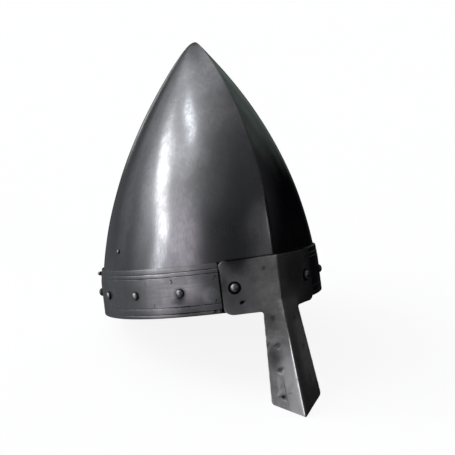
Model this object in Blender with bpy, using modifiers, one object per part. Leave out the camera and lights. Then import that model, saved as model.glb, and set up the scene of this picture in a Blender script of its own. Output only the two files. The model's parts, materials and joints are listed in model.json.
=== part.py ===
"""Conical nasal helmet of raised steel: a keeled skull, a moulded brow band and a T-shaped nasal plate.

The pieces are modelled in the helmet's own frame: +Z up its axis, -Y its face, and z = 0 the lower edge of
the brow band. A parent empty then tips the whole helmet back until it stands on the tip of the nasal and
on the rear of its rim, as it does on a table. Sizes are in metres.
"""

import collections
import math

import bmesh
import bpy
from mathutils import Matrix, Vector

# Plan of the brow band's outer face, from the point where the helmet is widest
HALF_WIDTH = 0.1000
FRONT_REACH = 0.1038
KEEL_REACH = 0.0116  # what the front keel adds to the front reach
REAR_REACH = 0.1153
REAR_FLAT = math.radians(4)  # half of the straight stretch at the rear, which the rim stands on
AROUND = 26  # segments from the keel to the rear flat

# Skull: an upright wall, then a dome whose reach falls to nothing at the peak
SKULL_WALL = 0.0016
SKULL_FOOT = 0.0012
UPRIGHT_HEIGHT = 0.0292
PEAK_HEIGHT = 0.2459
PEAK_FORWARD = 0.0234
PEAK_LEAN = 1.22  # how late the dome starts to lean forward
PEAK_ROUNDING = 0.0078
DOME_ROWS = 14
CROWDING = 1.5  # how much closer the rows lie near the peak

# How the dome swells outside a straight cone, by its rise and by the rise squared
Bulge = collections.namedtuple("Bulge", "linear squared")
FRONT_BULGE = Bulge(1.00, 0.31)
SIDE_BULGE = Bulge(0.68, -0.03)
REAR_BULGE = Bulge(1.00, 0.41)

# Brow band
SEAT = 0.0003  # the gap between one sheet and the next
BAND_WALL = 0.0016
BAND_HEIGHT = 0.0426
BAND_LINES = (0.0031, 0.0086, 0.0343, 0.0379)  # heights of the engraved lines
LINE_HALF_WIDTH = 0.0007
LINE_DEPTH = 0.0004
BEAD_PROUD = 0.0003
ARRIS = 0.0005

# Nasal plate: two ears on the band and the nasal below them
PLATE_WALL = 0.0016
PLATE_TOP = 0.0434
EAR_FOOT = -0.0024
EAR_REACH = 0.0460
EAR_TOP_RADIUS = 0.0055
EAR_FOOT_RADIUS = 0.0085
NECK_HALF_WIDTH = 0.0176
NECK_FILLET = 0.0020
NASAL_HALF_WIDTH = 0.0244
NASAL_SHOULDER = -0.0772
NASAL_CORNER_RADIUS = 0.0040
NASAL_TIP = -0.0926
NASAL_BEND = 0.0060  # height where the nasal starts to lean forward
CREASE_LEAN = 0.161  # forward reach of the crease for each metre of drop
EDGE_LEAN = 0.100  # the same, for the nasal's side edges
EDGE_BACK = 0.0036  # how far the nasal's edges lie behind its crease at the neck
FOLD_TOP = 0.0140  # the plate follows the band above this height
FOLD_FOOT = -0.0020  # and is folded along its crease below this one
EAR_BLEND = 0.0140  # how far into the ears the fold fades out
PLATE_COLUMNS = 10
EAR_ROWS = 5
FOLD_ROWS = 5
NASAL_ROWS = 7

# Rivets
Rivet = collections.namedtuple("Rivet", "head_radius head_height shank_radius inner_radius")
BAND_RIVET = Rivet(0.0037, 0.0028, 0.0018, 0.0034)
EAR_RIVET = Rivet(0.0039, 0.0031, 0.0020, 0.0036)
SIDE_RIVET = Rivet(0.0020, 0.0013, 0.0010, 0.0020)
EDGE_STUD = Rivet(0.0020, 0.0031, 0.0012, 0.0024)
DOME_TURN = math.radians(75)  # the head's arc, from its top down to its edge
DOME_STEPS = 3
INNER_HEAD_HEIGHT = 0.0011
INNER_SEAT = 0.0006  # inside, where the wall curves towards the head
HEAD_EDGE = 0.0003
RIVET_HEIGHT = 0.0203
EAR_RIVET_ARC = 0.0382  # along the band from the keel
BAND_RIVETS_A_SIDE = 6
SIDE_RIVET_PLACE = (math.radians(88), 0.0590)
EDGE_STUD_PLACE = (math.radians(117), 0.0380)
ROUND_SEGMENTS = 10
CUTTER_LENGTH = 0.024
ARC_STEP = math.radians(0.25)  # the step for measuring along the band
SAME_POINT = 0.00001

BAND_FACE = SEAT + BAND_WALL
BEAD_FACE = BAND_FACE + BEAD_PROUD
PLATE_FACE = BEAD_FACE + SEAT + PLATE_WALL
MOST_TILT = math.radians(40)

STEEL = (0.125, 0.125, 0.135, 1.0)
DARK_STEEL = (0.095, 0.095, 0.105, 1.0)
RIVET_STEEL = (0.180, 0.180, 0.185, 1.0)


def clear_scene():
    for old in list(bpy.data.objects):
        bpy.data.objects.remove(old, do_unlink=True)


def new_collection(name):
    made = bpy.data.collections.new(name)
    bpy.context.scene.collection.children.link(made)
    return made


def steel(name, color, roughness):
    made = bpy.data.materials.new(name)
    made.use_nodes = True
    shader = made.node_tree.nodes["Principled BSDF"]
    shader.inputs["Base Color"].default_value = color
    shader.inputs["Metallic"].default_value = 1.0
    shader.inputs["Roughness"].default_value = roughness
    made.diffuse_color = color
    return made


# ---- the shape that every sheet follows


def smooth_step(value):
    value = min(max(value, 0.0), 1.0)
    return value * value * (3.0 - 2.0 * value)


def shell_point(angle, height, proud):
    """A point of the skull's outer face, or `proud` outside it; the angle runs from the keel towards +X."""
    rise = max(0.0, (height - UPRIGHT_HEIGHT) / (PEAK_HEIGHT - UPRIGHT_HEIGHT))

    def reach(base, bulge):
        swelling = 1 + bulge.linear * rise + bulge.squared * rise**2
        return (base - BAND_FACE) * (1 - rise) * swelling + proud

    front = reach(FRONT_REACH + KEEL_REACH, FRONT_BULGE)
    side = reach(HALF_WIDTH, SIDE_BULGE)
    rear = reach(REAR_REACH, REAR_BULGE)
    keel = KEEL_REACH * front / (front**3 + (2 * KEEL_REACH) ** 3) ** (1 / 3)  # half the reach near the peak
    across = math.sin(angle)
    along = math.cos(angle)
    y = -rear * along
    if along > 0:
        y = -(front - keel) * along - keel * (1 - abs(across)) ** 2
    lean = PEAK_FORWARD * rise**PEAK_LEAN
    z = PEAK_HEIGHT - math.hypot(PEAK_HEIGHT - height, PEAK_ROUNDING)
    return Vector((side * across, y - lean, z if rise > 0 else height))


def shell_normal(angle, height):
    step = 0.001
    turn = shell_point(angle + step, height, 0.0) - shell_point(angle - step, height, 0.0)
    climb = shell_point(angle, height + step, 0.0) - shell_point(angle, height - step, 0.0)
    return turn.cross(climb).normalized()


def ring_angles():
    last = math.pi - REAR_FLAT
    half = [last * i / AROUND for i in range(AROUND + 1)]
    return half + [-angle for angle in reversed(half[1:])]


def angle_at_arc(arc, height, proud):
    """The angle reached after going `arc` along the sheet from the keel."""
    angle = 0.0
    while arc > 0:
        here = shell_point(angle, height, proud)
        arc -= (shell_point(angle + ARC_STEP, height, proud) - here).length
        angle += ARC_STEP
    return angle


def angle_at_side(x, height, proud):
    """The angle at which the front of the sheet is `x` from the middle plane."""
    side = shell_point(math.pi / 2, height, proud).x
    return math.asin(x / side)


# ---- sheets


def loft_rings(name, rows):
    """Rings of vertices joined in order, one for each function of the angle in `rows`."""
    bm = bmesh.new()
    layer = bm.verts.layers.float.new("angle")
    angles = ring_angles()
    ring = bmesh.ops.create_circle(bm, segments=len(angles), radius=1.0)["verts"]
    for vert, angle in zip(ring, angles):
        vert[layer] = angle
        vert.co = rows[0](angle)
    edges = bm.edges[:]
    for row in rows[1:]:
        grown = bmesh.ops.extrude_edge_only(bm, edges=edges)["geom"]
        edges = [e for e in grown if isinstance(e, bmesh.types.BMEdge) and e.is_boundary]
        for vert in grown:
            if isinstance(vert, bmesh.types.BMVert):
                vert.co = row(vert[layer])
    bmesh.ops.remove_doubles(bm, verts=bm.verts, dist=SAME_POINT)
    bmesh.ops.recalc_face_normals(bm, faces=bm.faces)
    return mesh_from(name, bm)


def mesh_from(name, bm):
    mesh = bpy.data.meshes.new(name)
    bm.to_mesh(mesh)
    bm.free()
    mesh.shade_smooth()
    mesh.set_sharp_from_angle(angle=math.radians(35))
    return mesh


def shell_row(height, proud):
    return lambda angle: shell_point(angle, height, proud)


def skull_mesh():
    heights = [SKULL_FOOT, UPRIGHT_HEIGHT / 2, UPRIGHT_HEIGHT]
    for i in range(1, DOME_ROWS + 1):
        rise = 1 - (1 - i / DOME_ROWS) ** CROWDING
        heights.append(UPRIGHT_HEIGHT + (PEAK_HEIGHT - UPRIGHT_HEIGHT) * rise)
    return loft_rings("skull", [shell_row(height, 0.0) for height in heights])


def band_section():
    """(height, proud of the skull) up the band's moulded outer face and down its plain inner face."""
    points = [(0.0, BAND_FACE - ARRIS), (ARRIS, BAND_FACE)]
    field = (BAND_LINES[1], BAND_LINES[2])
    stops = (ARRIS,) + BAND_LINES + (BAND_HEIGHT - ARRIS,)
    for low, high in zip(stops, stops[1:]):
        if (low, high) != field:
            points.append(((low + high) / 2, BEAD_FACE))
        if high in BAND_LINES:
            points.append((high - LINE_HALF_WIDTH, BAND_FACE))
            points.append((high, BAND_FACE - LINE_DEPTH))
            points.append((high + LINE_HALF_WIDTH, BAND_FACE))
    points += [(BAND_HEIGHT - ARRIS, BAND_FACE), (BAND_HEIGHT, BAND_FACE - ARRIS)]
    points += [(BAND_HEIGHT, SEAT), (UPRIGHT_HEIGHT, SEAT), (0.0, SEAT), points[0]]
    return points


def band_mesh():
    return loft_rings("brow_band", [shell_row(*point) for point in band_section()])


def nasal_point(x, z):
    """A point of the nasal plate's outer face, x across from the middle plane and z up."""
    angle = angle_at_side(x, 0.0, PLATE_FACE)
    seated = shell_point(angle, max(z, 0.0), PLATE_FACE).y
    crease = shell_point(0.0, 0.0, PLATE_FACE).y
    drop = max(NASAL_BEND - z, 0.0)
    down = min(max((EAR_FOOT - z) / (EAR_FOOT - NASAL_SHOULDER), 0.0), 1.0)
    half_width = NECK_HALF_WIDTH + (NASAL_HALF_WIDTH - NECK_HALF_WIDTH) * down
    share = min(x / half_width, 1.0)
    middle = crease - CREASE_LEAN * drop
    edge = crease + EDGE_BACK - EDGE_LEAN * drop
    folded = middle + (edge - middle) * share
    if x > half_width:
        neck = angle_at_side(half_width, 0.0, PLATE_FACE)
        folded += seated - shell_point(neck, max(z, 0.0), PLATE_FACE).y
    fold = smooth_step((FOLD_TOP - z) / (FOLD_TOP - FOLD_FOOT))
    fold *= 1 - smooth_step((x - half_width) / EAR_BLEND)
    return Vector((x, seated + (folded - seated) * fold, z))


def corner(centre, radius, start, end, steps):
    """Points of an arc in the plate's flat outline, with angles in degrees."""
    turns = [math.radians(start + (end - start) * i / steps) for i in range(steps + 1)]
    return [(centre[0] + radius * math.cos(a), centre[1] + radius * math.sin(a)) for a in turns]


def nasal_outline():
    """Half of the plate's outline, (x, z), from the top of the middle line round to the tip."""
    top = corner((EAR_REACH - EAR_TOP_RADIUS, PLATE_TOP - EAR_TOP_RADIUS), EAR_TOP_RADIUS, 90, 0, 4)
    foot = corner((EAR_REACH - EAR_FOOT_RADIUS, EAR_FOOT + EAR_FOOT_RADIUS), EAR_FOOT_RADIUS, 0, -90, 5)
    neck = corner((NECK_HALF_WIDTH + NECK_FILLET, EAR_FOOT - NECK_FILLET), NECK_FILLET, 90, 180, 3)
    shoulder = corner(
        (NASAL_HALF_WIDTH - NASAL_CORNER_RADIUS, NASAL_SHOULDER), NASAL_CORNER_RADIUS, 5, -55, 3
    )
    return [(0.0, PLATE_TOP)] + top + foot + neck + shoulder + [(0.0, NASAL_TIP)]


def between(start, end, steps):
    return [start + (end - start) * i / steps for i in range(1, steps)]


def nasal_mesh():
    bm = bmesh.new()
    bm.faces.new([bm.verts.new((x, 0.0, z)) for x, z in nasal_outline()])
    columns = between(0.0, EAR_REACH, PLATE_COLUMNS)
    levels = between(PLATE_TOP, FOLD_TOP, EAR_ROWS) + between(FOLD_TOP, FOLD_FOOT, FOLD_ROWS)
    levels += between(FOLD_FOOT, NASAL_TIP, NASAL_ROWS)
    cuts = [((x, 0, 0), (1, 0, 0)) for x in columns] + [((0, 0, z), (0, 0, 1)) for z in levels]
    for place, normal in cuts:
        everything = bm.verts[:] + bm.edges[:] + bm.faces[:]
        bmesh.ops.bisect_plane(bm, geom=everything, plane_co=place, plane_no=normal, dist=SAME_POINT)
    bmesh.ops.remove_doubles(bm, verts=bm.verts, dist=SAME_POINT)
    for vert in bm.verts:
        vert.co = nasal_point(vert.co.x, vert.co.z)
    bmesh.ops.recalc_face_normals(bm, faces=bm.faces)
    bm.normal_update()
    if sum(face.normal.y for face in bm.faces) > 0:
        bmesh.ops.reverse_faces(bm, faces=bm.faces)
    return mesh_from("nasal_plate", bm)


# ---- rivets


def rivet_profile(size, stack):
    """(radius, height) down the outer side, from the dome's top to the inner head; the sheets lie below 0."""
    head = size.head_radius
    shank = size.shank_radius
    inner = size.inner_radius
    inside = -stack - INNER_SEAT
    turns = [DOME_TURN * i / DOME_STEPS for i in range(DOME_STEPS + 1)]
    dome = [(head * math.sin(turn), SEAT + size.head_height * math.cos(turn)) for turn in turns]
    under = [(head, SEAT + HEAD_EDGE), (head, SEAT), (shank, SEAT), (shank, inside)]
    peened = [(inner, inside), (inner, inside - HEAD_EDGE)]
    return dome + under + peened + [(0.0, inside - INNER_HEAD_HEIGHT)]


def rivet_mesh(name, size, stack):
    """The profile alone, for a Screw modifier to turn."""
    bm = bmesh.new()
    line = [bm.verts.new((radius, 0.0, height)) for radius, height in rivet_profile(size, stack)]
    for upper, lower in zip(line, line[1:]):
        bm.edges.new((upper, lower))
    mesh = bpy.data.meshes.new(name)
    bm.to_mesh(mesh)
    bm.free()
    return mesh


def rivet_pose(angle, height, proud):
    """Where a rivet sits: its +Z axis leaves the sheet squarely."""
    across = shell_normal(angle, height)
    turned = across.to_track_quat("Z", "Y").to_matrix().to_4x4()
    return Matrix.Translation(shell_point(angle, height, proud)) @ turned


def band_rivet_angles():
    """Angles of the rivets on one side, evenly spaced from the ear rivet round to its twin."""
    half_way = 0.0
    angle = 0.0
    while angle < math.pi:
        here = shell_point(angle, RIVET_HEIGHT, BAND_FACE)
        half_way += (shell_point(angle + ARC_STEP, RIVET_HEIGHT, BAND_FACE) - here).length
        angle += ARC_STEP
    pitch = 2 * (half_way - EAR_RIVET_ARC) / (2 * BAND_RIVETS_A_SIDE + 1)
    arcs = [EAR_RIVET_ARC + pitch * i for i in range(1, BAND_RIVETS_A_SIDE + 1)]
    return [angle_at_arc(arc, RIVET_HEIGHT, BAND_FACE) for arc in arcs]


def rivet_places():
    """(name, kind, angle, height) of each rivet; the left of the helmet is +X."""
    places = []
    for side, sign in (("left", 1), ("right", -1)):
        ear = angle_at_arc(EAR_RIVET_ARC, RIVET_HEIGHT, PLATE_FACE)
        places.append((f"ear_rivet_{side}", "ear", sign * ear, RIVET_HEIGHT))
        places.append((f"side_rivet_{side}", "side", sign * SIDE_RIVET_PLACE[0], SIDE_RIVET_PLACE[1]))
        places.append((f"edge_stud_{side}", "stud", sign * EDGE_STUD_PLACE[0], EDGE_STUD_PLACE[1]))
        for number, angle in enumerate(band_rivet_angles(), start=1):
            places.append((f"band_rivet_{side}_{number}", "band", sign * angle, RIVET_HEIGHT))
    return places


# ---- assembly


def add_object(name, mesh, material, collection, parent):
    made = bpy.data.objects.new(name, mesh)
    if material and not mesh.materials:
        mesh.materials.append(material)
    collection.objects.link(made)
    made.parent = parent
    return made


def add_wall(obj, thickness):
    wall = obj.modifiers.new("wall", "SOLIDIFY")
    wall.thickness = thickness
    wall.offset = -1.0
    wall.use_quality_normals = True


def add_holes(obj, cutters):
    holes = obj.modifiers.new("rivet_holes", "BOOLEAN")
    holes.operand_type = "COLLECTION"
    holes.collection = cutters
    holes.solver = "EXACT"


def add_sheets(helmet, cutters, rest):
    skull = add_object("skull", skull_mesh(), steel("skull_steel", STEEL, 0.28), helmet, rest)
    add_wall(skull, SKULL_WALL)
    band = add_object("brow_band", band_mesh(), steel("band_steel", STEEL, 0.36), helmet, rest)
    plate = add_object("nasal_plate", nasal_mesh(), steel("plate_steel", DARK_STEEL, 0.34), helmet, rest)
    mirror = plate.modifiers.new("other_half", "MIRROR")
    mirror.merge_threshold = 0.0001
    add_wall(plate, PLATE_WALL)
    for sheet in (skull, band, plate):
        add_holes(sheet, cutters)


def add_rivets(helmet, cutters, rest):
    metal = steel("rivet_steel", RIVET_STEEL, 0.25)
    kinds = {
        "band": (BAND_RIVET, BAND_FACE, rivet_mesh("band_rivet", BAND_RIVET, BAND_FACE + SKULL_WALL)),
        "ear": (EAR_RIVET, PLATE_FACE, rivet_mesh("ear_rivet", EAR_RIVET, PLATE_FACE + SKULL_WALL)),
        "side": (SIDE_RIVET, 0.0, rivet_mesh("side_rivet", SIDE_RIVET, SKULL_WALL)),
        "stud": (EDGE_STUD, BEAD_FACE, rivet_mesh("edge_stud", EDGE_STUD, BEAD_FACE + SKULL_WALL)),
    }
    for name, kind, angle, height in rivet_places():
        size, proud, mesh = kinds[kind]
        pose = rivet_pose(angle, height, proud)
        rivet = add_object(name, mesh, metal, helmet, rest)
        rivet.matrix_local = pose
        turn = rivet.modifiers.new("turn", "SCREW")
        turn.steps = turn.render_steps = ROUND_SEGMENTS
        turn.use_merge_vertices = True
        turn.merge_threshold = SAME_POINT
        add_cutter(f"hole_{name}", size.shank_radius + SEAT, pose, cutters, rest)


def add_cutter(name, radius, pose, cutters, rest):
    bm = bmesh.new()
    bmesh.ops.create_cone(
        bm, cap_ends=True, segments=ROUND_SEGMENTS, radius1=radius, radius2=radius, depth=CUTTER_LENGTH
    )
    mesh = bpy.data.meshes.new(name)
    bm.to_mesh(mesh)
    bm.free()
    cutter = add_object(name, mesh, None, cutters, rest)
    cutter.matrix_local = pose
    cutter.hide_render = True
    cutter.display_type = "WIRE"


def evaluated_points(collection):
    """Every vertex of the finished pieces, in the helmet's own frame while the rest empty is unturned."""
    bpy.context.view_layer.update()
    graph = bpy.context.evaluated_depsgraph_get()
    points = []
    for obj in collection.objects:
        solid = obj.evaluated_get(graph)
        mesh = solid.to_mesh()
        points += [solid.matrix_world @ vert.co for vert in mesh.vertices]
        solid.to_mesh_clear()
    return points


def resting_tilt(points):
    """The angle the helmet tips back for its nasal and its rear rim to touch the same level surface."""
    low = 0.0
    high = MOST_TILT
    while high - low > 1e-9:
        tilt = (low + high) / 2
        turn = Matrix.Rotation(-tilt, 3, "X")
        nasal = min((turn @ p).z for p in points if p.z < NASAL_SHOULDER)
        rim = min((turn @ p).z for p in points if p.y > 0)
        if nasal < rim:
            low = tilt
        else:
            high = tilt
    return tilt


def stand_helmet(collection, rest):
    """Turns the rest empty and sets the helmet's lowest points at z = 0, its box centred on the origin."""
    points = evaluated_points(collection)
    tilt = resting_tilt(points)
    turn = Matrix.Rotation(-tilt, 3, "X")
    turned = [turn @ point for point in points]
    low = [min(point[axis] for point in turned) for axis in range(3)]
    high = [max(point[axis] for point in turned) for axis in range(3)]
    rest.rotation_euler = (-tilt, 0.0, 0.0)
    rest.location = (-(low[0] + high[0]) / 2, -(low[1] + high[1]) / 2, -low[2])
    bpy.context.view_layer.update()


def main():
    clear_scene()
    helmet = new_collection("nasal_helmet")
    cutters = new_collection("cutters")
    cutters.hide_render = True
    rest = bpy.data.objects.new("helmet_rest", None)
    bpy.context.scene.collection.objects.link(rest)
    add_sheets(helmet, cutters, rest)
    add_rivets(helmet, cutters, rest)
    stand_helmet(helmet, rest)


main()
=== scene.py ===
"""Conical nasal helmet: polished skull, brow band, folded nasal guard, domed rivets, and a plain studio.

Each piece is shaped in the helmet's own frame (+Z up its axis, -Y its face, z = 0 the lower edge of the
band) and then stood up as the frame stands, tipped back on its rim and nasal. Sizes are in metres.
"""

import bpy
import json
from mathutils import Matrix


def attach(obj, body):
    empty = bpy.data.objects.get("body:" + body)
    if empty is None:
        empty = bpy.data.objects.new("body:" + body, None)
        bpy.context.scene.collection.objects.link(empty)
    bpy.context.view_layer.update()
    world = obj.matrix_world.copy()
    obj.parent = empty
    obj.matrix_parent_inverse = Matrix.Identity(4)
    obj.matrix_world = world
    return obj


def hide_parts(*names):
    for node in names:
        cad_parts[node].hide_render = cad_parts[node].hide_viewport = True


bl_info = {
    "name": "Nasal Helmet",
    "version": (1, 0, 0),
    "blender": (4, 5, 0),
    "location": "3D View > Sidebar > Helmet",
    "description": "Builds a conical steel nasal helmet with its finish and a plain studio",
    "category": "Object",
}

import collections
import json
import math

import bmesh
import bpy
from mathutils import Matrix, Vector, noise

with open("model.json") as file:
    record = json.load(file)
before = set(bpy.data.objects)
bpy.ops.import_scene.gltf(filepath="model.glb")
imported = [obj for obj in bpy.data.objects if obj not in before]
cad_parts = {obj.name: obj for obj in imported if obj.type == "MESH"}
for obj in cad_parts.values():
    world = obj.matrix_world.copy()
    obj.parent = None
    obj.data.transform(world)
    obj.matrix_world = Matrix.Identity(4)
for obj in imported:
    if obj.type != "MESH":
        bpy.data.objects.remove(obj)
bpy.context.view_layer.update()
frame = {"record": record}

# Plan of the band's outer face, and the dome above it
HALF_WIDTH = 0.1000
FRONT_REACH = 0.1038
KEEL_REACH = 0.0116
REAR_REACH = 0.1150
UPRIGHT_HEIGHT = 0.0292
PEAK_HEIGHT = 0.2459
PEAK_FORWARD = 0.0234
PEAK_LEAN = 1.22
Bulge = collections.namedtuple("Bulge", "linear squared")
FRONT_BULGE = Bulge(1.00, 0.31)
SIDE_BULGE = Bulge(0.68, -0.03)
REAR_BULGE = Bulge(1.00, 0.41)
KEEL_ROUNDING = 0.008  # as a share of the half width
FOOT_BLEND = 0.012  # how softly the wall turns into the dome, as a share of its rise
PEAK_ONSET = 20  # how soon up the dome the rounding of the peak sets in
NORMAL_STEP = 0.001
SKULL_WALL = 0.0016
SKULL_FOOT = 0.0012
SKULL_COLUMNS = 120  # from the keel to the rear
COLUMN_CROWDING = 1.4
WALL_ROWS = 6
DOME_ROWS = 96
ROW_CROWDING = 1.5
HOLLOW_SIZE = 0.038  # width of the hammer's hollows
HOLLOW_START = 0.052
HOLLOW_END = 0.236

# How the sheets lie on each other
SEAT = 0.0003
BAND_FACE = 0.0019
BEAD_PROUD = 0.0003
BEAD_FACE = BAND_FACE + BEAD_PROUD
PLATE_WALL = 0.0016
PLATE_FACE = BEAD_FACE + SEAT + PLATE_WALL
ARRIS = 0.0004
PLATE_ARRIS = 0.0003

# Brow band
BAND_HEIGHT = 0.0426
BAND_LINES = (0.0031, 0.0086, 0.0343, 0.0379)
LINE_HALF_WIDTH = 0.0005
LINE_DEPTH = 0.0003
BEAD_SWELL = 0.00009
ARRIS_STEPS = 3
BEAD_STEPS = 8
FIELD_STEPS = 8
LINE_STEPS = 4
BAND_COLUMNS = 180

# Nasal guard, in its flat outline: places, and the radius of each corner with its number of steps
Corner = collections.namedtuple("Corner", "radius steps")
PLATE_TOP = 0.0434
EAR_FOOT = -0.0024
EAR_REACH = 0.0460
EAR_TOP_CORNER = Corner(0.0055, 9)
EAR_FOOT_CORNER = Corner(0.0085, 12)
NECK_HALF_WIDTH = 0.0176
NECK_CORNER = Corner(0.0020, 7)
NASAL_HALF_WIDTH = 0.0244
NASAL_SHOULDER = -0.0772
SHOULDER_CORNER = Corner(0.0040, 6)
SHOULDER_START = 5  # degrees, because the sides lean outwards
NASAL_TIP = -0.0926
TIP_CORNER = Corner(0.0014, 4)
TIP_SLOPE = math.radians(32.3)
RIGHT_SHOULDER = -0.0754  # the wearer's right is cut a little higher and steeper
RIGHT_TIP_SLOPE = math.radians(36.0)

# Nasal guard, as folded
NASAL_BEND = 0.0060
CREASE_LEAN = 0.161
CREASE_ROUNDING = 0.0006
CREASE_GROWTH = 1.8  # how much rounder the crease is at the foot
EDGE_LEAN = 0.100
EDGE_BACK = 0.0036
FOLD_TOP = 0.0140
FOLD_FOOT = -0.0020
EAR_BLEND = 0.0140
PLATE_PITCH = 0.0009
CREASE_CUTS = (0.0002, 0.0005, 0.0013, 0.0022)

# Dents in the nasal guard: place across, height, radius, depth
Dent = collections.namedtuple("Dent", "x z radius depth")
DENTS = (
    Dent(-0.0120, 0.0332, 0.0018, 0.00014),
    Dent(-0.0312, 0.0077, 0.0012, 0.00060),
    Dent(-0.0106, -0.0087, 0.0020, 0.00022),
    Dent(-0.0106, -0.0312, 0.0018, 0.00024),
    Dent(-0.0124, -0.0512, 0.0020, 0.00045),
    Dent(-0.0140, -0.0731, 0.0015, 0.00055),
    Dent(0.0106, -0.0126, 0.0022, 0.00030),
    Dent(0.0145, -0.0370, 0.0022, 0.00035),
    Dent(0.0150, -0.0640, 0.0024, 0.00035),
)
DENT_LIMIT = 3  # in radii, past which a dent has faded to nothing

# Rivets
Rivet = collections.namedtuple("Rivet", "head_radius head_height shank_radius inner_radius")
BAND_RIVET = Rivet(0.0037, 0.0028, 0.0018, 0.0034)
EAR_RIVET = Rivet(0.0039, 0.0031, 0.0020, 0.0036)
SIDE_RIVET = Rivet(0.0020, 0.0013, 0.0010, 0.0020)
EDGE_STUD = Rivet(0.0020, 0.0031, 0.0012, 0.0024)
DOME_STEPS = 10
INNER_HEAD_HEIGHT = 0.0011
INNER_SEAT = 0.0006
HEAD_EDGE = 0.0003
HEAD_SINK = 0.0001
PEEN_TAPER = 0.7
RIVET_TURNS = 36
RIVET_HEIGHT = 0.0203
EAR_RIVET_ARC = 0.0382
BAND_RIVETS_A_SIDE = 6
SIDE_RIVET_PLACE = (math.radians(88), 0.0590)
EDGE_STUD_PLACE = (math.radians(117), 0.0380)
ARC_STEP = math.radians(0.25)
SAME_POINT = 0.00001
SOFT_EDGE = math.radians(24)
RIM = "rim"  # how near a rivet head's edge a vertex is, 0 to 1

# Marks on the nasal guard: place across, height, lean in degrees, half width, half height, strength;
# a dark mark's strength is positive and a bright one's negative. The dark marks over the dents are
# partly painted shade in them, some large ones are painted shade over the near ear and the far ear, and
# the one bright mark is a painted highlight on the near ear's top corner.
PLATE_MARKS = (
    (-0.0120, 0.0332, 20, 0.0024, 0.0028, 0.45),
    (-0.0312, 0.0072, 62, 0.0017, 0.0034, 1.20),
    # painted shade: the near ear darkened, along its top and at its outer end
    (-0.0330, 0.0430, 0, 0.0210, 0.0160, 0.66),
    (-0.0340, 0.0442, 0, 0.0180, 0.0070, 0.22),
    (-0.0455, 0.0270, 0, 0.0070, 0.0150, 0.22),
    # painted highlight on the near ear's top corner
    (-0.0447, 0.0413, 42, 0.0009, 0.0040, -1.10),
    (-0.0250, 0.0280, 30, 0.0090, 0.0070, 0.18),
    # painted shade over the lower part of the near ear
    (-0.0430, 0.0140, 0, 0.0190, 0.0310, 0.54),
    (-0.0300, 0.0340, 0, 0.0120, 0.0090, 0.20),
    (-0.0110, -0.0050, 0, 0.0120, 0.0200, 0.30),
    # painted shade: the far ear darkened as if in shadow
    (0.0200, 0.0260, 0, 0.0320, 0.0300, 0.75),
    (-0.0190, 0.0250, 0, 0.0060, 0.0040, 0.15),
    (-0.0106, -0.0087, -10, 0.0028, 0.0036, 0.28),
    (-0.0106, -0.0312, 0, 0.0030, 0.0028, 0.34),
    (-0.0135, -0.0310, 70, 0.0009, 0.0034, 0.32),
    (-0.0187, -0.0297, 30, 0.0014, 0.0034, 0.35),
    (-0.0126, -0.0390, -14, 0.0066, 0.0105, 0.28),
    (-0.0186, -0.0415, 0, 0.0080, 0.0150, 0.38),
    (-0.0126, -0.0508, 75, 0.0024, 0.0041, 0.66),
    (-0.0140, -0.0731, 30, 0.0024, 0.0026, 0.95),
    (-0.0165, -0.0724, 80, 0.0011, 0.0026, 0.45),
    (-0.0086, -0.0715, 100, 0.0012, 0.0030, 0.35),
    (-0.0119, -0.0700, -1, 0.0007, 0.0180, 0.40),
    (-0.0080, -0.0670, 30, 0.0030, 0.0060, 0.20),
    (0.0106, -0.0126, 0, 0.0032, 0.0038, 0.55),
    (0.0145, -0.0370, 10, 0.0024, 0.0048, 0.55),
    (0.0150, -0.0640, 10, 0.0022, 0.0056, 0.60),
)

# Pale scuffs on the nasal guard, listed in the same way. The first four are painted highlights on the
# lower rims of dents; the rest are pale smears.
PLATE_SCUFFS_AND_GLINTS = (
    (-0.0136, -0.0543, -58, 0.0011, 0.0028, 1.10),
    (-0.0109, -0.0534, 28, 0.0010, 0.0028, 0.90),
    (-0.0108, -0.0342, 75, 0.0010, 0.0026, 0.40),
    (-0.0136, -0.0764, -60, 0.0011, 0.0028, 0.60),
    (-0.0158, -0.0620, 8, 0.0020, 0.0070, 0.34),
    (-0.0170, -0.0695, 52, 0.0016, 0.0060, 0.36),
    (-0.0088, -0.0650, -48, 0.0018, 0.0055, 0.30),
    (-0.0196, -0.0340, 24, 0.0014, 0.0060, 0.26),
)

# Marks on the brow band: angle, height, lean in degrees, half width, half height, strength as above. The
# mark at -26.7 degrees is a painted shadow under the guard's lower corner, and the one at -46.6 a
# painted shadow below a band rivet.
BAND_MARKS = (
    (-49.2, 0.0318, -25, 0.0008, 0.0014, 0.80),
    (-48.9, 0.0302, 20, 0.0007, 0.0014, 0.80),
    (-49.3, 0.0292, 60, 0.0006, 0.0012, 0.60),
    (-63.6, 0.0305, 20, 0.0005, 0.0018, 0.60),
    (-63.2, 0.0288, 15, 0.0004, 0.0016, 0.35),
    (-59.4, 0.0120, 5, 0.0005, 0.0018, 0.75),
    (-59.8, 0.0102, 70, 0.0005, 0.0014, 0.70),
    (-28.6, 0.0312, 35, 0.0009, 0.0030, 0.80),
    (-29.4, 0.0288, 80, 0.0010, 0.0024, 0.45),
    (-29.2, 0.0112, 20, 0.0010, 0.0026, 0.80),
    (-30.6, 0.0098, 80, 0.0010, 0.0024, 0.45),
    (-30.4, 0.0020, 70, 0.0012, 0.0040, 0.80),
    # painted shadow under the guard's lower corner
    (-26.7, 0.0012, 0, 0.0034, 0.0036, 1.00),
    (-42.0, 0.0015, 0, 0.0190, 0.0155, 0.52),
    (-54.5, 0.0010, 0, 0.0120, 0.0110, 0.28),
    # painted shadow below a band rivet
    (-46.6, 0.0140, 0, 0.0080, 0.0050, 0.48),
    (-31.4, 0.0165, 0, 0.0085, 0.0080, -0.72),
    (-37.5, 0.0235, 0, 0.0110, 0.0090, -0.18),
)
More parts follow.
